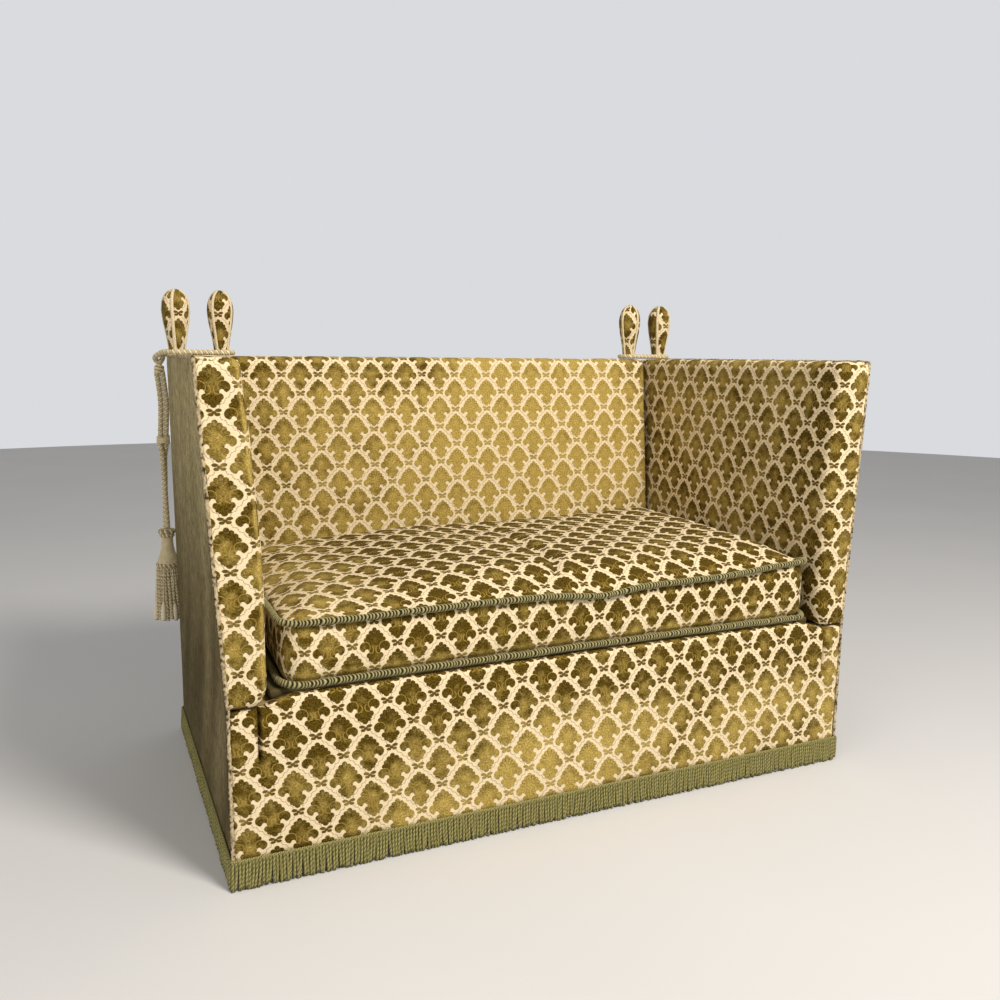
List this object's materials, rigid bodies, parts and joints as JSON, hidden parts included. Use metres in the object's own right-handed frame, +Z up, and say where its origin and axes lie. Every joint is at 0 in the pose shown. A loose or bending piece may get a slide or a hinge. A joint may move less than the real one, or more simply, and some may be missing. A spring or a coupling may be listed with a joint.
{
  "type": "knole sofa",
  "caption": "Upholstered two-seat knole sofa with high arms hinged at the base, corner finials tied by tasselled cords, and one loose seat cushion.",
  "frame": {"origin": "on the floor under the middle of the upholstered base, tie cords and tassels left out", "axes": "+X to the viewer's right along the seat, +Y from the front to the back, +Z up"},
  "size_m": [1.603, 0.9408, 1.164],
  "materials": {
    "oak_frame": "sawn oak, unfinished",
    "hinge_iron": "blackened iron",
    "spring_steel": "drawn spring wire",
    "jute_webbing": "herringbone jute webbing",
    "hessian": "plain woven jute",
    "cut_moquette": "cut velvet pile in olive on a cream ground, lattice and palmette pattern",
    "plain_ribbed_cover": "plain olive ribbed weave",
    "bullion_fringe": "twisted bullion strands under a braided heading",
    "ruched_trim_cord": "ruched cord in olive green",
    "tie_cord": "twisted cord in cream and olive",
    "dust_cloth": "black dust cloth"
  },
  "bodies": {
    "root": {"rail_front": "oak_frame", "rail_rear": "oak_frame", "rail_side_left": "oak_frame", "rail_side_right": "oak_frame", "leg_front_left": "oak_frame", "leg_front_right": "oak_frame", "leg_rear_left": "oak_frame", "leg_rear_right": "oak_frame", "dust_cover": "dust_cloth", "seat_webbing": "jute_webbing", "seat_spring_unit": "spring_steel", "spring_canvas": "hessian", "seat_deck": "cut_moquette", "front_border": "cut_moquette", "side_cover_left": "plain_ribbed_cover", "side_cover_right": "plain_ribbed_cover", "back_outer_cover": "plain_ribbed_cover", "fringe_front": "bullion_fringe", "fringe_rear": "bullion_fringe", "fringe_left": "bullion_fringe", "fringe_right": "bullion_fringe", "back_post_left": "oak_frame", "back_post_right": "oak_frame", "back_top_rail": "oak_frame", "back_bottom_rail": "oak_frame", "back_webbing": "hessian", "back_pad": "cut_moquette", "back_finial_left": "cut_moquette", "back_finial_right": "cut_moquette", "hinge_base_leaf_left": "hinge_iron", "hinge_base_leaf_right": "hinge_iron", "hinge_pin_left": "hinge_iron", "hinge_pin_right": "hinge_iron", "tie_loop_left": "tie_cord", "tie_loop_right": "tie_cord"},
    "arm_left": {"arm_bottom_rail_left": "oak_frame", "arm_top_rail_left": "oak_frame", "arm_front_stile_left": "oak_frame", "arm_rear_stile_left": "oak_frame", "arm_webbing_left": "hessian", "arm_outer_cover_left": "plain_ribbed_cover", "arm_pad_left": "cut_moquette", "arm_finial_left": "cut_moquette", "hinge_arm_leaf_left": "hinge_iron"},
    "arm_right": {"arm_bottom_rail_right": "oak_frame", "arm_top_rail_right": "oak_frame", "arm_front_stile_right": "oak_frame", "arm_rear_stile_right": "oak_frame", "arm_webbing_right": "hessian", "arm_outer_cover_right": "plain_ribbed_cover", "arm_pad_right": "cut_moquette", "arm_finial_right": "cut_moquette", "hinge_arm_leaf_right": "hinge_iron"},
    "cushion": {"seat_cushion": "cut_moquette", "cushion_cord_top": "ruched_trim_cord", "cushion_cord_bottom": "ruched_trim_cord"},
    "tie_left": {"tie_tail_left": "tie_cord", "tassel_left": "tie_cord"},
    "tie_right": {"tie_tail_right": "tie_cord", "tassel_right": "tie_cord"}
  },
  "joints": [
    {"name": "arm_left_hinge", "type": "hinge", "parent": "root", "child": "arm_left", "pos_m": [-0.738, 0, 0.35], "axis": [0, -1, 0], "range_deg": [0, 87], "deforming": ["tie_loop_left"]},
    {"name": "arm_right_hinge", "type": "hinge", "parent": "root", "child": "arm_right", "pos_m": [0.738, 0, 0.35], "axis": [0, 1, 0], "range_deg": [0, 87], "deforming": ["tie_loop_right"]},
    {"name": "cushion_lift", "type": "slide", "parent": "root", "child": "cushion", "axis": [0, 0, 1], "range_m": [0, 0.3]},
    {"name": "tie_left_slide", "type": "slide", "parent": "root", "child": "tie_left", "axis": [1, 0, 0], "range_m": [0, 0.11]},
    {"name": "tie_right_slide", "type": "slide", "parent": "root", "child": "tie_right", "axis": [-1, 0, 0], "range_m": [0, 0.11]}
  ],
  "couplings": [
    {"joint": "tie_left_slide", "follows": "arm_left_hinge", "m_per_rad": 0.071},
    {"joint": "tie_right_slide", "follows": "arm_right_hinge", "m_per_rad": 0.071}
  ]
}
